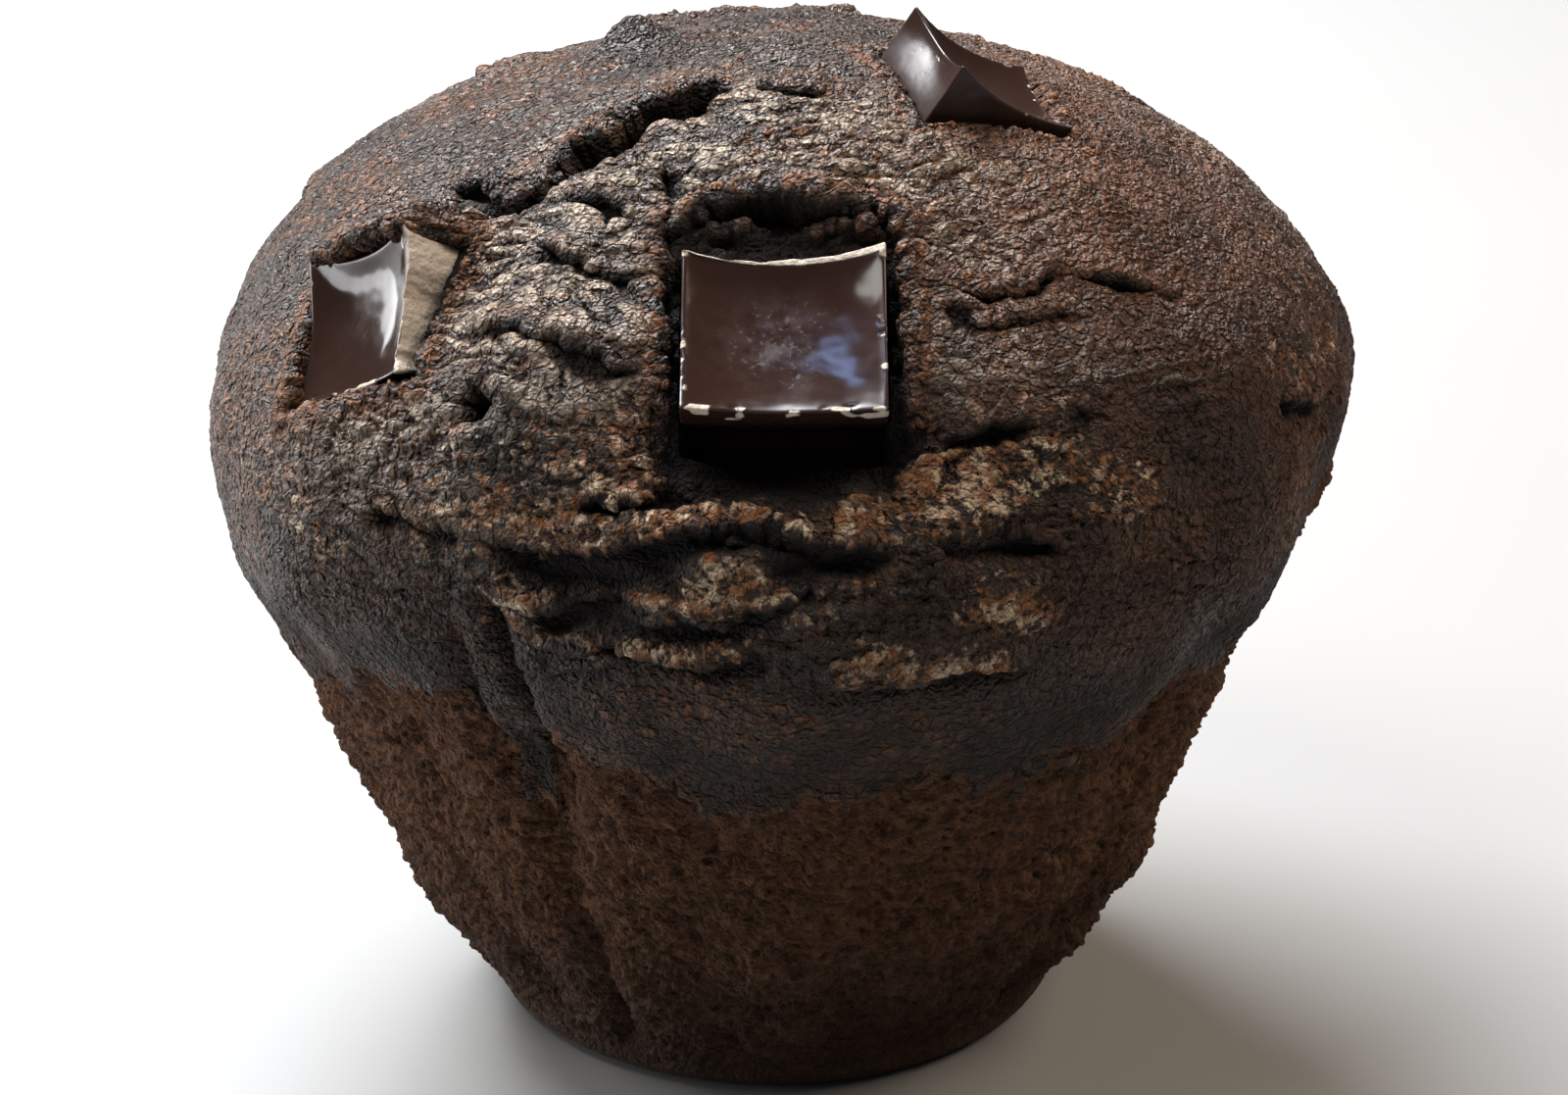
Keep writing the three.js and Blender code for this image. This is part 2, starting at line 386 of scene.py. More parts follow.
def chocolate_material():
    s = Shader("dark_chocolate")
    melted = s.mix(s.speckle(180), *MELTED_TINTS)
    dust = s.ramp(s.speckle(2600, 2), 0.58, 0.70)
    haze = s.times(s.value("haze"), s.ramp(s.speckle(500, 4, 0.65), 0.35, 0.65))
    haze = s.math("MINIMUM", s.add(haze, s.times(dust, s.value("haze"))), 1.0)
    color = s.mix(haze, melted, BLOOM_TINT)
    # Rims are painted pale as highlights, and take the pale tints with the snapped sides.
    rim = s.ramp(s.add(s.value("rim"), s.times(s.speckle(1500, 2), 0.2)), 0.45, 0.75)
    snapped_and_highlight_color = s.mix(s.speckle(900, 4, 0.6), *SNAPPED_AND_HIGHLIGHT_TINTS)
    broken = s.math("MAXIMUM", s.value("broken"), rim)
    color = s.mix(broken, color, snapped_and_highlight_color)
    roughness = s.add(s.ramp(haze, 0, 1, GLOSSY, BLOOMED), s.times(broken, SNAPPED_DULLER))
    roughness = s.add(roughness, s.ramp(s.value("face"), 0.9, 0.4, 0.0, SIDE_DULLER))
    roughness = s.add(roughness, s.times(s.value("edge"), EDGE_DULLER))
    ripple = s.bump(s.speckle(260, 2), CHOCOLATE_BUMP, 0.35)
    crumbly = s.times(s.speckle(2200, 4, 0.6), broken)
    normal = s.bump(crumbly, CHOCOLATE_BUMP, 0.9, ripple)
    return s.finish(Base_Color=color, Roughness=roughness, Normal=normal, IOR=CHOCOLATE_IOR)


dark_chocolate = chocolate_material()
for number, (name, chunk) in enumerate(CHUNKS.items()):
    chunk_piece(name, chunk, seed=20 + 10 * number).data.materials.append(dark_chocolate)


# --- The cake -------------------------------------------------------------------------------------
# Dark chocolate sponge, baked in one piece in a pleated paper case. Its crown rose over the case and
# dried to a leathery crust that tore as it rose. The wall is bare crumb, left by the paper as it was
# peeled away.

CAKE_CELLS = 360

cake_low, cake_high = (np.array(corner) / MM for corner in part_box("cake"))
CAKE_HEIGHT = cake_high[2]
CROWN_RADIUS = (cake_high[1] - cake_low[1]) / 2 - 0.3
CROWN_HEIGHT = 0.646 * CAKE_HEIGHT
CROWN_FULLNESS = 1.13
RIM_HEIGHT = 0.449 * CAKE_HEIGHT
RIM_RADIUS = 0.859 * CROWN_RADIUS
LIP_ANGLE = -27.0
WALL_TOP = RIM_HEIGHT - 1
WALL_BULGE = 1.5
BASE_RADIUS = 0.527 * CROWN_RADIUS
BASE_ROUND = 3.0
BASE_TURN = 65
LEAN = 0.045
SUMMIT_LEAN = 0.5

# Lobes round the crown, as (how many, how far out as a share of the radius, turn in degrees).
LOBES = ((2, 0.008, 40), (4, 0.006, 280))


def crown_outline(angle):
    """The crown's radius and height at an angle in degrees above its widest part."""
    a = np.radians(angle)
    drop = (CROWN_HEIGHT - RIM_HEIGHT) / np.sin(np.radians(-LIP_ANGLE))
    reach = np.where(a > 0, CAKE_HEIGHT - CROWN_HEIGHT, drop)
    radius = CROWN_RADIUS * np.maximum(np.cos(a), 0) ** CROWN_FULLNESS
    return radius, CROWN_HEIGHT + reach * np.sin(a)


def wall_outline(height):
    """The wall's radius at a height."""
    up = (np.asarray(height) - BASE_ROUND) / (WALL_TOP - BASE_ROUND)
    return BASE_RADIUS + (RIM_RADIUS - BASE_RADIUS) * up + WALL_BULGE * np.sin(np.pi * up)


def cake_outline():
    """The half outline, from the middle of the base out, up the wall and over the crown."""
    turn = np.radians(np.linspace(0, BASE_TURN, 12))
    base_radius = BASE_RADIUS - BASE_ROUND + BASE_ROUND * np.sin(turn)
    base = np.stack([base_radius, BASE_ROUND * (1 - np.cos(turn))], 1)
    wall_height = np.linspace(BASE_ROUND, WALL_TOP, 40)[1:]
    wall = np.stack([wall_outline(wall_height), wall_height], 1)
    crown = np.stack(crown_outline(np.linspace(LIP_ANGLE, 90, 90)), 1)
    return np.concatenate([[(0, 0)], base, wall, crown])


def crown_share(height):
    """How far a height belongs to the crown, from 0 low on the wall to 1 at the widest part."""
    return smooth(RIM_HEIGHT * 0.5, CROWN_HEIGHT, height)


def risen(radius, azimuth, height):
    """The turned shape's points after an uneven rise: slight lobes, and a lean to one side."""
    crown = crown_share(height)
    lobes = sum(size * np.cos(count * azimuth - np.radians(turn)) for count, size, turn in LOBES)
    radius = radius * (1 + crown * lobes)
    lean = LEAN * (1 + (SUMMIT_LEAN - 1) * smooth(CROWN_HEIGHT, CAKE_HEIGHT, height))
    x = radius * np.sin(azimuth)
    return np.stack([x, -radius * np.cos(azimuth), height + lean * x * crown], -1)


def on_crown(azimuth, angle):
    """The point of the crown at an azimuth, and at an angle above its widest part."""
    radius, height = crown_outline(angle)
    return risen(radius, np.radians(azimuth), height)


def on_wall(azimuth, height):
    return risen(wall_outline(height), np.radians(azimuth), height)


# Where the crust ends and the bare crumb of the wall starts, as (azimuth in degrees, height).
CRUST_EDGE = [
    (-180, 36), (-140, 33), (-110, 31), (-90, 28), (-66, 32), (-50, 36), (-42, 37), (-33, 38),
    (-30.5, 37), (-29.3, 28), (-26, 27.5), (-24.8, 34), (-23, 36), (-20, 34), (-14, 31.5),
    (-4, 29.6), (12, 30), (28, 30.5), (41, 32), (54, 33), (62, 39), (67, 43), (86, 40), (100, 37),
    (120, 34), (150, 31),
]

# How ragged that edge is, as (size, height, seed) of the lumps that shift it.
EDGE_RAGS = ((6, 1.8, 4), (2.4, 1.8, 5), (1.0, 1.0, 8))

# How far the crust stands out along its edge, and how far the crumb falls back under it.
EDGE_PROUD = 0.5
CRUMB_BACK = 0.35

# Soft rises and dips of the whole surface, as (a place near it, spread, amount).
SWELLS = [
    ((17, 7, 70), 9, -1.3), ((-41, -5, 45), 9, -0.8), ((38.5, -12, 39), 6, -1.9),
    ((31, -8, 19), 5, -0.7), (on_crown(-112, 73), 2.2, 2.0), (on_crown(4, 60), 6.5, 0.9),
    (on_crown(-28, 34), 5, 0.9), (on_crown(-5, 4), 9, 0.4), (on_crown(-46, 2), 9, 0.7),
    (on_crown(32, 58), 2.0, 0.8), (on_crown(-18, 10), 3.5, -0.9), (on_crown(24, 12), 5, -0.6),
    (on_crown(-38, 40), 4, -0.6),
]

# The paper's pleats pressed these grooves into the wall, as (azimuth, depth, width in degrees).
PLEATS = [
    (-27, 1.5, 3.5), (-44, 0.7, 5), (-8, 0.5, 5), (14, 0.6, 5), (48, 0.9, 5), (72, 0.6, 5),
    (118, 1.1, 6), (-152, 1.2, 6), (-88, 0.8, 5), (-118, 0.7, 5), (90, 0.6, 5), (150, 0.8, 6),
    (178, 0.8, 6),
]

# How deep the base's edge was knocked in, and how far up and in the knocks reach.
KNOCK_DEPTH = 1.1
KNOCK_HEIGHT = 7
KNOCK_REACH = 6

# Tears where the crust split as the crown rose: the lower side dips in under the lip of the upper
# side. Each is a line of (azimuth, angle) on the crown, then the width of the dip, its depth, the
# lift of the upper lip, how far that overhangs, and how ragged the line is.
TEARS = [
    # the main split, deep at the left, then a shallow wrinkle that runs on to the top right chunk
    ([(-43, 54), (-42, 59), (-38, 64), (-33, 68), (-28, 70), (-25, 72.5), (-17, 73.2), (-9, 73)],
     4.0, 3.0, 0.4, 0.5, 1.0),
    ([(-13, 73), (-4, 72.4), (4, 72), (14, 71.6), (24, 71)], 1.9, 0.9, 0.3, 0.3, 1.3),
    ([(-60, 48), (-55, 50), (-49, 51), (-44, 50), (-41, 52), (-39, 58)], 2.0, 1.8, 0.3, 0.4, 0.9),
    # the skin that gapes above the front chunk
    ([(-14, 47), (-12.5, 50.5), (-8, 52.4), (3, 52.6), (10, 51.8), (17, 50.3), (19, 45)],
     2.3, 2.2, 0.35, 0.5, 0.5),
    # the thin split above the front chunk, on down its left side
    ([(-19, 60), (-16, 56), (-15, 52), (-13.5, 46), (-12, 38), (-11, 32)], 1.6, 1.2, 0.15, 0.2, 1.0),
    # the split that runs right from the front chunk, and a finer one under it
    ([(14, 42), (18, 40.5), (24, 39.5), (30, 38), (36, 37.5), (44, 34.5), (52, 31)],
     1.6, 0.7, 0.35, 0.3, 1.1),
    ([(19, 37), (24, 34.5), (30, 33), (36, 32)], 1.3, 0.4, 0.25, 0.2, 1.1),
    # the folds to the left of the front chunk
    ([(-36, 31), (-30, 33.5), (-24, 33), (-19, 31.5), (-13, 31)], 2.4, 0.4, 0.45, 0.3, 0.6),
    ([(-33, 45), (-27, 43.5), (-21, 43), (-15, 41)], 2.0, 0.7, 0.4, 0.4, 0.9),
    ([(-34, 52), (-28, 51.5), (-22, 50)], 2.0, 0.7, 0.4, 0.4, 0.9),
    # the ledges below the front chunk, and those to the left and right of them
    ([(-18, 15), (-12, 14.5), (-8, 16.5), (-4, 17)], 2.2, 0.8, 0.15, 0.2, 0.6),
    ([(-27, 7), (-21, 6.5), (-15, 7), (-12, 9), (-6, 10.5), (1, 9.5), (7, 7.5), (12, 8)],
     4.2, 1.3, 0.25, 0.2, 0.5),
    ([(-24, -3), (-18, -1), (-12, 0), (-4, -1), (3, 1), (8, 3)], 3.2, 0.8, 0.25, 0.2, 0.6),
    ([(3, -9), (7, -11), (12, -12), (17, -12), (26, -12)], 2.2, 0.5, 0.2, 0.2, 0.7),
    ([(-16, -5.5), (-10, -6.5), (-5, -7.5), (0, -5)], 2.0, 0.45, 0.15, 0.1, 0.7),
    ([(-40, 9), (-34, 7), (-28, 8)], 2.4, 0.6, 0.1, 0.1, 0.7),
    ([(16, 18), (20, 20), (27, 20), (34, 20)], 2.0, 0.6, 0.2, 0.2, 0.8),
    ([(14, 8), (20, 6), (27, 3)], 2.6, 0.7, 0.2, 0.2, 0.7),
    # round the back
    ([(150, 66), (172, 62), (-168, 60), (-152, 62), (-140, 66)], 3.2, 2.2, 0.7, 0.9, 1.0),
    ([(110, 40), (118, 44), (128, 45), (137, 42)], 2.2, 1.2, 0.5, 0.6, 1.0),
    ([(-112, 30), (-105, 33), (-97, 32)], 2.2, 1.1, 0.5, 0.6, 1.0),
    ([(138, 51), (146, 49), (157, 50)], 2.0, 0.7, 0.4, 0.3, 0.9),
    ([(-130, 55), (-121, 52), (-112, 53)], 2.0, 0.7, 0.4, 0.3, 0.9),
    ([(-176, 5), (-166, 3), (-156, 3.5), (-146, 8)], 3.4, 1.0, 0.3, 0.2, 0.6),
    ([(124, 12), (134, 9), (145, 8), (154, 10)], 3.2, 1.0, 0.3, 0.2, 0.7),
    ([(-130, -7), (-120, -5), (-110, -6)], 2.4, 0.7, 0.2, 0.2, 0.7),
    ([(94, 0), (103, -3), (114, -2)], 2.6, 0.8, 0.2, 0.2, 0.7),
    ([(56, 12), (64, 8), (75, 9)], 2.6, 0.8, 0.3, 0.2, 0.8),
    ([(-102, 12), (-94, 8), (-86, 9)], 2.4, 0.7, 0.2, 0.2, 0.8),
]

# Bands of torn crumb that stick out and face up; golden highlights are painted on their crests, as
# (line of (azimuth, angle), spread, strength).
LEDGE_HIGHLIGHTS = [
    ([(-23, -1), (-16, 2), (-9, 5), (-2, 6), (5, 4)], 2.6, 1.0),
    ([(-9, 15), (-2, 13.5), (4, 13), (18, 14)], 2.4, 1.0),
    ([(18, -2), (21, -3), (25, -6)], 1.6, 0.9),
    ([(8, -8), (14, -10), (20, -11)], 1.5, 0.9),
    ([(-34, 17), (-26, 19), (-18, 20), (-12, 16)], 4.0, 0.3),
    ([(-32, 8), (-24, 12), (-17, 15)], 2.4, 0.45),
    ([(-15, -5), (-8, -6), (-2, -4)], 1.0, 0.8),
    ([(20, 17), (28, 15), (34, 9)], 3.5, 0.5),
    ([(-60, 6), (-52, 8), (-45, 2)], 4.0, 0.25),
    ([(-13, 24), (-12, 17)], 2.0, 0.8),
    ([(-176, 9), (-166, 7), (-156, 7.5), (-147, 12)], 2.2, 0.4),
    ([(125, 16), (134, 13), (145, 12), (153, 14)], 2.2, 0.4),
    ([(-129, -3), (-120, -1), (-111, -2)], 1.6, 0.5),
    ([(95, 4), (103, 1), (113, 2)], 1.8, 0.5),
    ([(57, 16), (64, 12), (74, 13)], 1.8, 0.45),
    ([(-101, 16), (-94, 12), (-87, 13)], 1.8, 0.45),
]

# The small hole where steam broke through, with a slight lip round it, and the hollow that the
# front chunk overhangs.
VENT = dict(spot=(-30, 24), spread=1.3, depth=2.8, lip=2.2, lip_height=0.3)
HOLLOW = dict(middle=(1.2, -38.2, 55.8), radii=(9.6, 6.0, 3.7), depth=4.4)

# The fold that a pleat left below the crown: the groove down its right side, and the step down its
# left side.
FOLD_GROOVE = [on_crown(-26, 3), on_crown(-25, -8), on_crown(-24.4, -22), on_wall(-23.5, 29.5),
               on_wall(-23, 26)]
GROOVE_DEPTH = 1.4
GROOVE_WIDTH = 0.9
FOLD_STEP = [on_crown(-29, 6), on_crown(-29.2, -10), on_crown(-29.6, -24), on_wall(-30, 28)]
STEP_DEPTH = 0.6
STEP_WIDTH = 1.6

# How far each chunk's gap reaches past its right, left, upper and lower sides. Where it is under 0,
# the crust laps over the chunk.
GAPS = {
    "chunk_front": (1.2, 0.9, 3.0, 0.9),
    "chunk_left": (0.9, 0.2, -0.4, 0.7),
    "chunk_top_right": (0.3, 0.8, 0.3, 0.3),
    "chunk_back": (0.7, 0.7, 0.9, 0.5),
    "chunk_back_left": (0.6, 0.4, -0.5, 0.6),
}
GAP_DEPTH = 2.6
LAP_THICKNESS = 0.5
POCKET_CLEARANCE = 0.4

# Where the crust is wrinkled like bark, with cream highlights painted on its crests, and where it is
# baked reddish, as (azimuth, angle, spread, strength).
BARK = [
    (-25, 44, 12, 1.0), (-26, 58, 7, 0.8), (-8, 62, 9, 0.7), (14, 60, 10, 0.6), (-38, 24, 9, 0.9),
    (25, 31, 6, 0.5), (27, 50, 6, 0.4), (150, 48, 13, 0.4), (-120, 50, 11, 0.4), (98, 34, 10, 0.4),
]
RUSSET = [
    (-60, 10, 9, 1.0), (-48, 0, 7, 1.0), (-72, 20, 8, 0.8), (-84, 40, 9, 0.6), (120, 10, 10, 0.5),
    (-150, 14, 10, 0.5),
]

# The skin's relief: the size of each kind, and its height plain, with more in bark and in flakes.
FOLDS = dict(size=(3.4, 3.4, 1.3), plain=0.05, bark=0.30, flaky=0.05)
CREASES = dict(size=(1.8, 1.8, 0.9), plain=0.10, bark=0.13, flaky=0.03)
STROKES = dict(size=0.95, height=0.14)
FINE_CREASES = dict(size=(0.9, 0.9, 0.7), height=0.12)
PEBBLES = dict(size=0.36, height=0.06)

# Flakes, as (how far apart, how high, seed).
FLAKES = ((2.3, 0.55, 215), (1.2, 0.3, 218))

# The bare crumb: its lumps and humps, as (size, height, seed), and open pores, as (size, depth, seed).
CRUMB_LUMPS = (2.6, 0.25, 240)
CRUMB_HUMPS = ((1.0, 0.34, 241), (0.55, 0.22, 242))
PORES = ((2.6, 0.35, 250), (1.2, 0.30, 251))

FARTHEST = 1e9


def wrapped(angle):
    """An angle in radians, brought between minus and plus half a turn."""
    return np.arctan2(np.sin(angle), np.cos(angle))


def facing(place, squares):
    """The direction that the surface faces at each point."""
    diagonal = place[squares[:, 2]] - place[squares[:, 0]]
    flat = np.cross(diagonal, place[squares[:, 3]] - place[squares[:, 1]])
    total = np.stack([
        sum(np.bincount(squares[:, corner], flat[:, axis], len(place)) for corner in range(4))
        for axis in range(3)
    ], 1)
    return total / np.maximum(np.linalg.norm(total, axis=1), 1e-12)[:, None]


def shaken(place, size, amount, seed):
    """The places moved about by a random field."""
    return place + amount * np.stack([lumps(place, size, seed + k) for k in range(3)], 1)


def humps(place, size, seed):
    """Rounded humps with sharp creases between them, from 0 in a crease to about 1."""
    return np.minimum(np.abs(lumps(place, size, seed)) * 2.0, 1.3) ** 0.75


def plates(place, size, seed):
    """Flat plates with narrow creases between them, from 0 in a crease to 1."""
    return 1 - np.exp(-np.abs(lumps(place, size, seed)) / 0.16)


def zones(place, spots):
    """How near each place is to any of the spots on the crown, from 0 to 1."""
    total = 0
    for azimuth, angle, spread, strength in spots:
        far = ((place - on_crown(azimuth, angle)) ** 2).sum(1)
        total = total + strength * np.exp(-far / spread**2)
    return np.clip(total, 0, 1)


def curve(points, steps=8):
    """A smooth line through the points."""
    at = np.linspace(0, len(points) - 1, steps * (len(points) - 1) + 1)
    low = np.clip(at.astype(int), 0, len(points) - 2)
    part = (at - low)[:, None]
    slope = np.gradient(points, axis=0)
    line = points[low] * (1 - 3 * part**2 + 2 * part**3)
    line = line + points[low + 1] * (3 * part**2 - 2 * part**3)
    line = line + slope[low] * (part - 2 * part**2 + part**3)
    return line + slope[low + 1] * (part**3 - part**2)


def band_near(place, points, spread):
    """How near each place is to a band on the crown through the points, from 0 to 1."""
    nearest = np.full(len(place), FARTHEST)
    for spot in curve(np.array([on_crown(*point) for point in points]), 4):
        nearest = np.minimum(nearest, ((place - spot) ** 2).sum(1))
    return np.exp(-nearest / spread**2)


def from_line(place, normal, line):
    """Distance from a line, positive on its upper side, and how far along it, from 0 to 1."""
    best = np.full(len(place), FARTHEST)
    signed = np.zeros(len(place))
    share = np.zeros(len(place))
    legs = np.linalg.norm(np.diff(line, axis=0), axis=1)
    start = np.concatenate([[0], np.cumsum(legs)])
    for a, b, leg, begun in zip(line[:-1], line[1:], legs, start):
        way = (b - a) / leg
        along = np.clip((place - a) @ way, 0, leg)
        off = place - a - along[:, None] * way
        far = np.linalg.norm(off, axis=1)
        nearer = far < best
        best = np.where(nearer, far, best)
        side = np.sign(np.einsum("ij,ij->i", off, np.cross(normal, way)))
        signed = np.where(nearer, far * side, signed)
        share = np.where(nearer, (begun + along) / start[-1], share)
    return signed, share


def pick(cell, seed):
    """A number from 0 to 255 for each whole-numbered cell."""
    at = (cell + seed * SEED_STEP) & 255
    mark = shuffle[at[:, 0]]
    mark = shuffle[(mark + at[:, 1]) & 255]
    return shuffle[(mark + at[:, 2]) & 255]


def open_pores(at):
    """How far the bare crumb stands in or out: crumbs and open pores of several sizes."""
    at = shaken(at, 1.3, 0.35, 230)
    size, height, seed = CRUMB_LUMPS
    relief = height * lumps(at, size, seed)
    for size, height, seed in CRUMB_HUMPS:
        relief = relief + height * humps(at, size, seed)
    for size, depth, seed in PORES:
        cell = np.floor(at / size).astype(np.int64)
        part = at / size - cell
        nearest = np.full(len(at), 9.0)
        for step in np.ndindex(3, 3, 3):
            step = np.array(step) - 1
            mark = pick(cell + step, seed)
            # Each cell holds one pore, with its own middle and its own width.
            middle = [shuffle[mark], shuffle[(mark + 85) & 255], shuffle[(mark + 170) & 255]]
            middle = np.stack(middle, 1) / 255
            wide = 0.16 + 0.3 * shuffle[(mark + 31) & 255] / 255
            nearest = np.minimum(nearest, np.linalg.norm(step + middle - part, axis=1) / wide)
        relief -= depth * smooth(1.15, 0.5, nearest)
    return relief


def push(dough, amount, near=slice(None)):
    """Move all points, or the near ones, out along their normals."""
    dough.place[near] += dough.normal[near] * amount[:, None]


def more(mark, value, near=slice(None)):
    """Raise a mark to a value where it was lower, at all points or at the near ones."""
    mark[near] = np.maximum(mark[near], value)


def smooth_dough():
    """The cake as one smooth shape, with what the later steps need to know of each point."""
    lattice, squares, flat_map = cube_lattice(CAKE_CELLS)
    # Bent this way, the cube's squares come out even in size on the ball.
    ball = np.tan(lattice * np.pi / 4)
    ball /= np.linalg.norm(ball, axis=1)[:, None]
    azimuth = np.arctan2(ball[:, 0], -ball[:, 1])
    outline = cake_outline()
    run = np.concatenate([[0], np.cumsum(np.linalg.norm(np.diff(outline, axis=0), axis=1))])
    climb = (1 - np.arccos(np.clip(ball[:, 2], -1, 1)) / np.pi) * run[-1]
    height = np.interp(climb, run, outline[:, 1])
    radius = np.interp(climb, run, outline[:, 0])
    base = risen(radius, azimuth, height)
    return SimpleNamespace(
        squares=squares, flat_map=flat_map, base=base, place=base.copy(),
        normal=facing(base, squares), azimuth=azimuth, climb=climb, height=height, radius=radius,
        off_floor=smooth(0.2, 6, height),
        marks={name: np.zeros(len(base)) for name in ("torn", "deep_shade", "rough")},
    )


def swell(dough):
    """The large, soft shape: lumps, the pleats' grooves, swells, and a base edge knocked about."""
    base, height = dough.base, dough.height
    lift = 0.45 * lumps(base, 15, 1) + 0.35 * lumps(base, 6.5, 2)
    lift = lift + 0.5 * lumps(base, (9, 9, 6), 3) * (1 - crown_share(height))

    grooves = 0
    for azimuth, depth, width in PLEATS:
        off = wrapped(dough.azimuth - np.radians(azimuth)) / np.radians(width)
        grooves = grooves + depth * np.exp(-(off**2))
    wall = smooth(0, 8, height) * (1 - smooth(RIM_HEIGHT - 2, CROWN_HEIGHT, height))
    lift -= wall * grooves

    swells = 0
    for spot, spread, amount in SWELLS:
        swells = swells + amount * np.exp(-((base - spot) ** 2).sum(1) / spread**2)
    lift += swells

    knocked = KNOCK_DEPTH * smooth(KNOCK_HEIGHT, 1, height) * smooth(-0.3, 0.7, lumps(base, 8, 9))
    lift -= knocked * smooth(BASE_RADIUS - KNOCK_REACH, BASE_RADIUS, dough.radius)
    push(dough, lift * dough.off_floor)


def thin_out_crust(dough):
    """The crust thins out into the crumb along a ragged edge, proud of it in places."""
    base = dough.base
    edge = np.interp(np.degrees(dough.azimuth), *np.array(CRUST_EDGE).T, period=360)
    for size, amount, seed in EDGE_RAGS:
        edge = edge + amount * lumps(base, size, seed)
    above = dough.height - edge
    proud = np.clip(0.55 + 1.3 * lumps(base, 7, 6), 0.05, 1.2)
    lip = EDGE_PROUD * np.exp(-np.maximum(above, 0) / 2.5) * smooth(-0.7, 0.5, above)
    lip = lip - CRUMB_BACK * smooth(0.4, -0.8, above)
    push(dough, lip * proud * dough.off_floor)
    dough.above = above

    # The crust is dullest in a band just over its edge, and painted darkest there as the shade under
    # the crown's overhang.
    band = smooth(-2.0, 1.5, above) * smooth(10.0, 3.0, above)
    dough.marks["band"] = band * np.clip(0.8 + 0.5 * lumps(base, 4, 30), 0, 1)
    dough.marks["crust"] = smooth(-0.9, 0.9, above)
    dough.marks["baked"] = smooth(-3.0, 2.5, above + 1.0 * lumps(base, 2.0, 33))


def hollow_out(dough):
    """The hollow under the front chunk, and the steam hole."""
    ragged = shaken(shaken(dough.base, 2.4, 0.7, 10), 0.9, 0.3, 14)
    inside = np.exp(-(((ragged - HOLLOW["middle"]) / HOLLOW["radii"]) ** 2).sum(1) ** 1.5)
    push(dough, -HOLLOW["depth"] * inside)
    # Painted shade is marked in the hollow.
    more(dough.marks["deep_shade"], smooth(0.2, 0.75, inside))
    more(dough.marks["rough"], smooth(0.02, 0.4, inside))

    far = np.linalg.norm(ragged - on_crown(*VENT["spot"]), axis=1)
    hole = np.exp(-((far / VENT["spread"]) ** 4))
    lip = VENT["lip_height"] * np.exp(-((far - VENT["lip"]) ** 2))
    push(dough, lip - VENT["depth"] * hole)
    # Painted shade is marked in the steam hole.
    more(dough.marks["deep_shade"], hole)


def tear(dough, number, spots, width, depth, lift, hang, ragged):
    """Open one tear in the surface."""
    line = curve(np.array([on_crown(*spot) for spot in spots]))
    reach = np.ptp(line, axis=0).max() / 2 + 9
    far = ((dough.base - (line.min(0) + line.max(0)) / 2) ** 2).sum(1)
    near = np.flatnonzero(far < reach**2)
    at, normal = dough.base[near], dough.normal[near]
    wave = shaken(at, 5.0, ragged, 300 + 9 * number)
    wave = shaken(wave, 2.0, 0.45 * ragged, 303 + 9 * number)
    wave = shaken(wave, 0.9, 0.25, 306 + 9 * number)
    across, along = from_line(wave, normal, line)

    # The tear closes at its ends, and opens unevenly between them.
    ends = smooth(0.0, 0.16, along) * smooth(1.0, 0.84, along)
    patchy = np.clip(0.9 + 0.9 * lumps(at, (4.5, 4.5, 2.2), 500 + number), 0.2, 1.2)
    open_share = ends * patchy
    wide = width * (0.4 + 0.6 * open_share)
    dip = smooth(-wide, -0.3 * wide, across) * (1 - smooth(0.05, 0.4, across))
    brow = np.exp(-np.maximum(across, 0) / 2.4) * smooth(0.0, 0.35, across)
    push(dough, (lift * brow - depth * dip) * open_share, near)

    # The upper lip hangs down over the dip.
    upward = np.cross(normal, np.cross(np.array([0.0, 0.0, 1.0]), normal))
    upward /= np.maximum(np.linalg.norm(upward, axis=1), 0.2)[:, None]
    over = np.exp(-np.maximum(across - 0.3, 0) / 1.1) * smooth(0.05, 0.4, across) * open_share
    dough.place[near] -= upward * (hang * over)[:, None]

    strength = min(depth / 2, 1.0) * open_share
    lip = np.exp(-(((across - 1.0) / 0.6) ** 2))
    shade = smooth(-0.8 * wide, -0.35 * wide, across) * (1 - smooth(0.3, 0.6, across))
    spill = np.where(across > 0, 1.6, width * 0.8)
    more(dough.marks["torn"], strength * lip, near)
    # Painted shade is marked in the dip under the lip.
    more(dough.marks["deep_shade"], shade * np.minimum(strength * 2.5, 1), near)
    more(dough.marks["rough"], strength * np.exp(-((across / spill) ** 2)), near)


def fold_over(dough):
    """The fold that a pleat left below the crown: a groove at its right, and a step at its left."""
    wavy = shaken(dough.base, 1.5, 0.4, 20)
    across, along = from_line(wavy, dough.normal, curve(np.array(FOLD_GROOVE)))
    across = np.abs(across)
    ends = smooth(0, 0.2, along) * smooth(1, 0.75, along)
    push(dough, -GROOVE_DEPTH * np.exp(-((across / GROOVE_WIDTH) ** 2)) * ends)
    # Painted shade is marked along the groove.
    more(dough.marks["deep_shade"], np.exp(-((across / 1.1) ** 2)) * ends * 0.9)

    wavy = shaken(dough.base, 1.5, 0.3, 23)
    across, along = from_line(wavy, dough.normal, curve(np.array(FOLD_STEP)))
    ends = smooth(0, 0.2, along) * smooth(1, 0.85, along)
    step = -STEP_DEPTH * np.exp(-((np.minimum(across, 0) / STEP_WIDTH) ** 2))
    push(dough, step * smooth(0.3, -0.1, across) * ends * (np.abs(across) < 6))


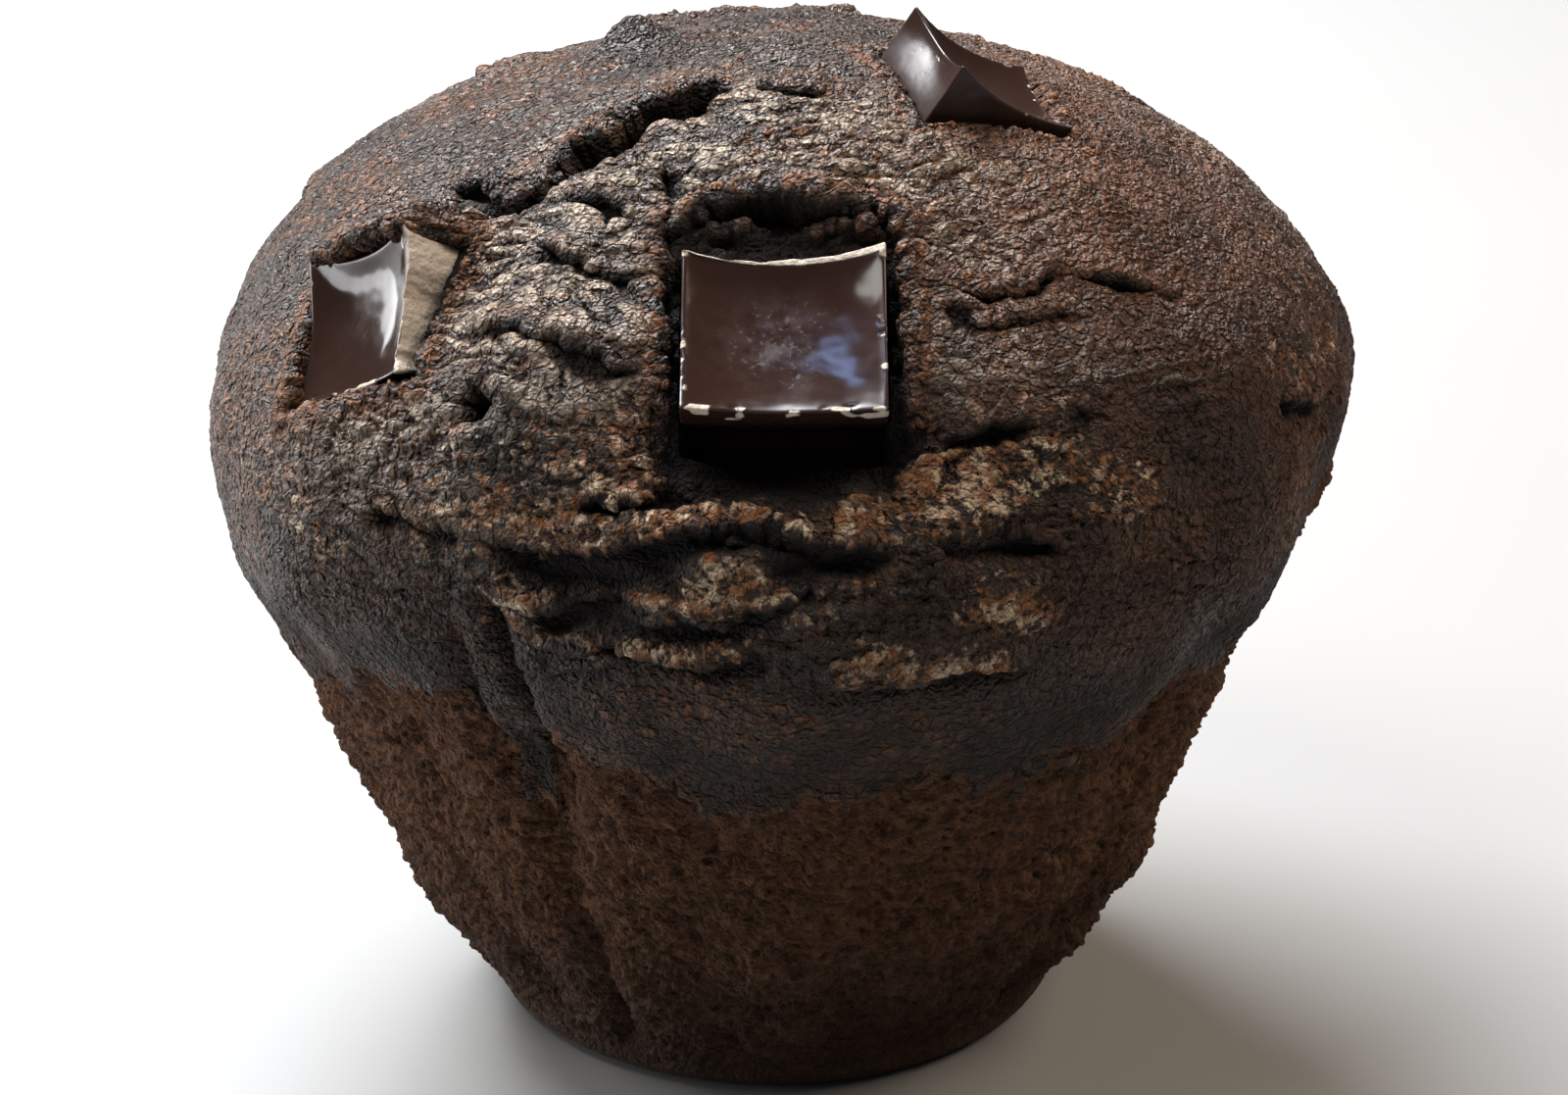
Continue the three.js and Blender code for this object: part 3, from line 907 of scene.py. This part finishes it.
def make_room(dough, chunk, gaps, ragged):
    """Room for one chunk, with a torn crumbly margin: a gap round it and a pocket behind it."""
    axes = chunk_axes(chunk)
    half = np.array(chunk["size"]) / 2
    far = np.linalg.norm(dough.place - chunk["face"], axis=1)
    near = np.flatnonzero(far < 2.2 * half[0] + 4)
    local = (dough.place[near] - chunk["face"]) @ axes.T
    ragged = ragged[near]
    right, left, up, down = gaps

    # out is the distance past the gap's outline; the upper side of a wide gap bows down at its ends.
    bow = 1 - 0.25 * max(up, 0) / 3 * np.clip(np.abs(local[:, 0]) / half[0], 0, 1) ** 2
    out = np.max([
        local[:, 0] - half[0] - right, -local[:, 0] - half[0] - left,
        local[:, 1] - half[1] - up * bow, -local[:, 1] - half[1] - down,
    ], axis=0)
    out = out + ragged

    # Where the crust laps over the chunk it is brought out over the chunk's face. Close round the
    # gap the crust may stand only a little in front of the face, and further off more.
    lap_edge = half[1] + min(up, 0)
    lap = smooth(lap_edge - 0.3, lap_edge + 0.2, local[:, 1]) * smooth(4.5, 1.0, out) * (up < 0)
    lap *= smooth(half[0] + 1.5, half[0] - 1.0, np.abs(local[:, 0]))
    lapped = (LAP_THICKNESS + 0.25 * ragged) * lap + local[:, 2] * (1 - lap)
    local[:, 2] = np.maximum(local[:, 2], lapped)
    highest = 0.5 + 0.6 * np.maximum(out, 0) + 0.3 * np.maximum(out - 2, 0) ** 2
    local[:, 2] = np.minimum(local[:, 2], highest)

    margin = smooth(0.3, -0.35, out)
    under = np.max(np.abs(local[:, :2]) - half[:2], axis=1)
    pocket = smooth(0.25, -0.05, under) * margin
    at = dough.base[near]
    gap_floor = -GAP_DEPTH + 1.0 * lumps(at, 1.7, 162) + 0.5 * lumps(at, 0.7, 163)
    pocket_floor = -2 * half[2] - POCKET_CLEARANCE
    local[:, 2] += (np.minimum(local[:, 2], gap_floor) - local[:, 2]) * margin
    local[:, 2] += (np.minimum(local[:, 2], pocket_floor) - local[:, 2]) * pocket
    dough.place[near] = local @ axes + chunk["face"]
    more(dough.marks["torn"], np.exp(-((out - 0.7) ** 2)), near)
    more(dough.marks["rough"], np.exp(-(((out - 0.5) / 0.6) ** 2)) * 0.8, near)
    # Painted shade is marked in the gap round the chunk.
    more(dough.marks["deep_shade"], margin, near)


def sort_skin(dough):
    """Where the skin is like bark, flaky, reddish or on the right, and where ledges get painted
    highlights.
    """
    base, height, degrees = dough.base, dough.height, np.degrees(dough.azimuth)
    flaky = smooth(33, 46, height) * smooth(61, 54, height)
    flaky = flaky * smooth(-66, -38, degrees) * smooth(68, 40, degrees)
    flaky *= np.clip(0.75 + 0.6 * lumps(base, 7, 32), 0, 1)
    elsewhere = smooth(60, 54, height) * smooth(33, 44, height) * smooth(80, 105, np.abs(degrees))
    patches = 0.8 * elsewhere * smooth(-0.1, 0.4, lumps(base, 13, 35))
    # Bands along ledges where golden highlights are painted.
    ledge_highlight = sum(strength * band_near(base, line, spread) for line, spread, strength in LEDGE_HIGHLIGHTS)
    dough.marks |= {
        "bark": zones(base, BARK),
        "flaky": np.maximum(flaky, patches),
        "russet": zones(base, RUSSET),
        # The right is tinted warm brown, and elsewhere the cool grey skin partly paints the sheen.
        "right": smooth(5, 22, base[:, 0]) * smooth(34, 46, height),
        "ledge_highlight": np.clip(ledge_highlight * (1 + 0.9 * lumps(base, (3.5, 3.5, 1.4), 34)), 0, 1),
        "low": smooth(24, 2, height),
    }


def roughen(dough):
    """Folds like bark, creases, strokes and flakes on the crust, and open pores on the crumb."""
    base, marks = dough.base, dough.marks
    bark, flaky, right, russet = (marks[name] for name in ("bark", "flaky", "right", "russet"))
    sheet = np.stack([base[:, 0], base[:, 1], dough.climb], 1)
    sheet = shaken(shaken(sheet, 5.0, 1.6, 200), 1.6, 0.45, 203)
    slanted = [sheet[:, 0] * 1.4 + sheet[:, 2] * 0.4, sheet[:, 1] * 1.4, sheet[:, 2] * 0.5]

    height = FOLDS["plain"] + FOLDS["bark"] * bark + FOLDS["flaky"] * flaky
    folds = height * humps(sheet, FOLDS["size"], 210)
    height = CREASES["plain"] + CREASES["bark"] * bark + CREASES["flaky"] * flaky
    skin = folds + height * plates(sheet, CREASES["size"], 211)
    strokes = humps(np.stack(slanted, 1), STROKES["size"], 212)
    finest = STROKES["height"] * np.maximum(right, russet) * strokes
    finest = finest + FINE_CREASES["height"] * plates(sheet, FINE_CREASES["size"], 213)
    finest = finest + PEBBLES["height"] * lumps(sheet, PEBBLES["size"], 214)
    skin += finest

    # Each flake rises steeply from under its lower edge and slopes back as it goes up.
    for period, amount, seed in FLAKES:
        phase = dough.climb / period + 1.0 * lumps(base, (8.0, 8.0, 4.0), seed)
        phase = phase + 0.25 * lumps(base, 1.6, seed + 1)
        step = phase - np.floor(phase)
        flake = (1 - step) * smooth(0.0, 0.16, step)
        skin += amount * flake * flaky * np.clip(0.5 + lumps(base, 4.0, seed + 2), 0, 1)

    # Torn and flaky places are crumbly. The skin is calmer near its lower edge and in deep places.
    crumbs = 0.12 * humps(sheet, (1.6, 1.6, 0.6), 220) + 0.26 * humps(sheet, (0.7, 0.7, 0.4), 221)
    crumbs += 0.14 * lumps(sheet, (0.42, 0.42, 0.3), 222)
    worn = np.clip(marks["rough"] + 0.6 * flaky, 0, 1)
    calm = smooth(-1.0, 8.0, dough.above + 2.5 * lumps(base, 4, 31))
    skin = skin * (0.45 + 0.55 * calm) + worn * crumbs * (0.4 + 0.6 * calm)
    skin = skin * (1 - 0.8 * marks["deep_shade"])
    middling = 0.16 + 0.22 * bark + 0.06 * right + 0.42 * worn
    marks["crest"] = np.clip(0.55 + 2.2 * (skin - middling), 0, 1)

    crust = marks["crust"]
    skin *= crust
    bare = np.flatnonzero(crust < 0.99)
    relief = np.zeros(len(base))
    relief[bare] = open_pores(base[bare])
    push(dough, skin + (1 - crust) * relief * dough.off_floor)


def level_base(dough):
    """The base stands flat on the floor."""
    dough.place[:, 2] = np.maximum(dough.place[:, 2], 0.0)
    flat = (dough.radius < BASE_RADIUS - BASE_ROUND - 0.5) & (dough.height < 0.5)
    dough.place[flat, 2] = 0.0


# Colours of the crust and the crumb. Where there are two, the surface wanders between them.
# The cool skin's grey partly paints the bluish sheen of the light; the warm skin is the brown of the
# right side, where that sheen does not fall.
COOL_SKIN_AND_SHEEN = tint(0.038, 0.0275, 0.0230), tint(0.070, 0.0490, 0.0385)
WARM_SKIN = tint(0.060, 0.0245, 0.0110), tint(0.115, 0.0450, 0.0190)
ORANGE = tint(0.070, 0.027, 0.011), tint(0.24, 0.100, 0.040)
# The cream and golden tints are painted highlights, on bark's crests and on the flakes of ledges.
CREST_HIGHLIGHT = tint(0.46, 0.365, 0.275)
GOLDEN_HIGHLIGHT_TINTS = tint(0.27, 0.110, 0.040), tint(0.66, 0.50, 0.34)
# The dark tints below are painted shade: in flaky places, creases, fine cracks, the band under the
# crown's overhang and deep places.
FLAKY_SHADE = tint(0.0115, 0.0075, 0.0055)
CREASE_SHADE = tint(0.011, 0.006, 0.0042)
CRACK_SHADE = tint(0.013, 0.006, 0.004)
BAND_SHADE = tint(0.0100, 0.0080, 0.0070)
DEEP_SHADE = tint(0.007, 0.0042, 0.0034)
CRUMB = tint(0.062, 0.028, 0.0145), tint(0.20, 0.088, 0.040)
LOW_CRUMB = tint(0.038, 0.021, 0.014)

SKIN_ROUGHNESS = 0.30, 0.46
BAND_ROUGHNESS = 0.75
CRUMB_ROUGHNESS = 0.95
CRUST_BUMP = 0.0005
CRUST_IOR = 1.4


def crust_material():
    """Crust over crumb: skin, painted highlights on bark's ridges, worn and torn places, flakes, and
    the edge.
    """
    s = Shader("baked_crust")
    crest = s.value("crest")
    tone = s.ramp(s.speckle(120, 3), 0.35, 0.65)
    # Painted sheen: cool grey skin, and warm brown on the right.
    skin = s.mix(s.value("right"), s.mix(tone, *COOL_SKIN_AND_SHEEN), s.mix(tone, *WARM_SKIN))
    orange = s.mix(s.ramp(s.speckle(1100, 3), 0.35, 0.65), *ORANGE)
    patches = s.add(s.speckle(95, 5, 0.65), s.times(s.value("russet"), 0.14))
    worn = s.times(s.ramp(patches, 0.49, 0.57), s.ramp(s.speckle(1500, 3), 0.42, 0.56))
    skin = s.mix(s.times(worn, 0.9), skin, orange)
    # Painted highlight: cream on the crests of bark's ridges.
    cream_highlight = s.times(s.value("bark"), s.ramp(crest, 0.45, 0.95))
    cream_highlight = s.times(cream_highlight, s.ramp(s.speckle(420, 3), 0.32, 0.56))
    skin = s.mix(cream_highlight, skin, CREST_HIGHLIGHT)
    # Painted shade: flaky places are darkened nearly to black.
    skin = s.mix(s.times(s.value("flaky"), 0.8), skin, FLAKY_SHADE)
    # Painted shade: the low places of the relief, its creases, are darkened.
    skin = s.mix(s.ramp(crest, 0.45, 0.0, 0.0, 0.75), skin, CREASE_SHADE)
    # Painted shade darkens the fine cracks of a crackle network, which the bump also sinks.
    cracked = s.ramp(s.cells(950, "DISTANCE_TO_EDGE", 0.0012), 0.02, 0.14)
    skin = s.mix(s.ramp(cracked, 0.0, 1.0, 0.45, 0.0), skin, CRACK_SHADE)

    # Torn lips show orange crumb, and golden highlights are painted on the flakes of the ledges.
    ragged_edge = s.times(s.ramp(s.speckle(800, 3), 0.40, 0.62), s.value("rough"))
    torn = s.times(s.value("torn"), s.ramp(s.speckle(420, 3), 0.32, 0.50))
    torn = s.times(s.math("MAXIMUM", torn, ragged_edge), s.ramp(crest, 0.15, 0.6))
    color = s.mix(torn, skin, orange)
    # Painted shade: the band under the crown's overhang is darkened.
    color = s.mix(s.times(s.value("band"), 0.8), color, BAND_SHADE)
    flakes = s.add(s.speckle(1500, 4, 0.6), s.times(s.value("ledge_highlight"), 0.24))
    flakes = s.times(s.ramp(flakes, 0.57, 0.69), s.ramp(crest, 0.35, 0.85))
    flakes = s.times(flakes, s.ramp(s.value("ledge_highlight"), 0.08, 0.40))
    golden_highlight = s.mix(s.ramp(s.speckle(700, 4), 0.44, 0.62), *GOLDEN_HIGHLIGHT_TINTS)
    color = s.mix(s.times(flakes, 0.9), color, golden_highlight)

    # The bare crumb takes over below the crust's ragged edge, and deep places are painted nearly black
    # as shade.
    crumb = s.mix(s.ramp(s.speckle(900, 4, 0.65), 0.3, 0.7), *CRUMB)
    crumb = s.mix(s.times(s.value("low"), 0.7), crumb, LOW_CRUMB)
    ragged = s.times(s.math("SUBTRACT", s.speckle(1100, 3, 0.6), 0.5), 2.4)
    crusty = s.ramp(s.add(s.value("baked"), ragged), 0.0, 1.0)
    color = s.mix(crusty, crumb, color)
    color = s.mix(s.ramp(s.value("deep_shade"), 0.2, 0.9, 0.0, 0.93), color, DEEP_SHADE)

    gloss = s.ramp(s.speckle(230, 3), 0.3, 0.7, *SKIN_ROUGHNESS)
    for mark, duller in (("right", 0.12), ("flaky", 0.10)):
        gloss = s.add(gloss, s.times(s.value(mark), duller))
    gloss = s.add(gloss, s.times(torn, 0.2))
    gloss = s.add(gloss, s.times(s.value("deep_shade"), 0.4))
    gloss = s.ramp(s.value("band"), 0.0, 1.0, gloss, BAND_ROUGHNESS)
    roughness = s.ramp(crusty, 0.0, 1.0, CRUMB_ROUGHNESS, gloss)

    pebbles = s.add(s.speckle(2600, 3, 0.6), s.times(s.cells(3400), 0.8))
    pebbles = s.add(pebbles, s.times(s.times(cracked, crusty), 0.9))
    sponge = s.times(s.speckle(1300, 4, 0.7), s.ramp(s.value("crust"), 0.8, 0.2, 0.0, 2.2))
    grit = s.times(s.speckle(1900, 3, 0.6), s.add(s.value("rough"), s.value("flaky")))
    normal = s.bump(s.add(s.add(pebbles, sponge), grit), CRUST_BUMP)
    return s.finish(Base_Color=color, Roughness=roughness, Normal=normal, IOR=CRUST_IOR)


dough = smooth_dough()
swell(dough)
thin_out_crust(dough)
hollow_out(dough)
dough.normal = facing(dough.place, dough.squares)
for number, spec in enumerate(TEARS):
    tear(dough, number, *spec)
fold_over(dough)
margins = 0.55 * lumps(dough.base, 2.4, 160) + 0.3 * lumps(dough.base, 0.9, 161)
for name, chunk in CHUNKS.items():
    make_room(dough, chunk, GAPS[name], margins)
dough.normal = facing(dough.place, dough.squares)
sort_skin(dough)
roughen(dough)
level_base(dough)

cake = new_piece("cake_baked", dough.place, dough.squares, dough.flat_map, dough.marks)
cake.data.materials.append(crust_material())
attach(cake, "root")
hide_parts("cake")


# --- The stage ------------------------------------------------------------------------------------
# A wide pale tabletop under five lights: a large softbox behind and to the left, a narrow strip of
# blue sky above it, a low wide one at the left, a warm one at the right and a weak one in front.

FLOOR_REACH = 3.0
FLOOR_TINTS = tint(0.33, 0.33, 0.325), tint(0.36, 0.36, 0.355)
FLOOR_ROUGHNESS = 0.6

# Each light, as azimuth, elevation, distance, size, power and colour. All point at one place.
LIGHTS = {
    "key": (-147, 50, 0.75, (0.55, 0.36), 16.5, (0.96, 0.97, 1.0)),
    "sky": (-135, 78, 0.80, (0.09, 0.20), 0.6, (0.36, 0.54, 1.0)),
    "left": (-102, 3, 0.60, (0.60, 0.14), 2.6, (0.97, 0.98, 1.0)),
    "warm": (84, 50, 0.80, (0.45, 0.40), 3.8, (1.0, 0.83, 0.66)),
    "fill": (-60, 60, 0.80, (0.30, 0.30), 3.0, (1.0, 0.97, 0.92)),
}
LIT_PLACE = np.array([0, 0, 0.04])
ROOM_TINT = tint(0.95, 0.97, 1.0)
ROOM_STRENGTH = 0.05


def floor_piece():
    mesh = bpy.data.meshes.new("floor")
    corners = [(x * FLOOR_REACH, y * FLOOR_REACH, 0) for x, y in ((-1, -1), (1, -1), (1, 1), (-1, 1))]
    mesh.from_pydata(corners, [], [(0, 1, 2, 3)])
    piece = bpy.data.objects.new("floor", mesh)
    bpy.context.scene.collection.objects.link(piece)
    s = Shader("pale_tabletop")
    color = s.mix(s.speckle(6), *FLOOR_TINTS)
    mesh.materials.append(s.finish(Base_Color=color, Roughness=FLOOR_ROUGHNESS))


def softbox(name, azimuth, elevation, distance, size, power, color):
    light = bpy.data.lights.new(name, "AREA")
    light.shape = "RECTANGLE"
    light.size, light.size_y = size
    light.energy = power
    light.color = color
    box = bpy.data.objects.new(name, light)
    box.location = heading(azimuth, elevation) * distance + LIT_PLACE
    box.rotation_euler = (np.radians(90 - elevation), 0, np.radians(azimuth))
    bpy.context.scene.collection.objects.link(box)


floor_piece()
for name, light in LIGHTS.items():
    softbox(name, *light)

world = bpy.data.worlds.new("studio")
world.use_nodes = True
room = world.node_tree.nodes["Background"]
room.inputs["Color"].default_value = ROOM_TINT
room.inputs["Strength"].default_value = ROOM_STRENGTH
bpy.context.scene.world = world
bpy.context.scene.view_settings.view_transform = "Standard"

TARGET = np.array([0.8, 0, 34]) * MM
CAMERA_ELEVATION = 22
CAMERA_DISTANCE = 0.28
FOCAL_LENGTH = 87.3
SENSOR_WIDTH = 36
NEAREST_SEEN = 0.01

lens = bpy.data.cameras.new("camera")
lens.lens = FOCAL_LENGTH
lens.sensor_width = SENSOR_WIDTH
lens.clip_start = NEAREST_SEEN
camera = bpy.data.objects.new("camera", lens)
camera.location = TARGET + heading(0, CAMERA_ELEVATION) * CAMERA_DISTANCE
camera.rotation_euler = (np.radians(90 - CAMERA_ELEVATION), 0, 0)
bpy.context.scene.collection.objects.link(camera)
bpy.context.scene.camera = camera
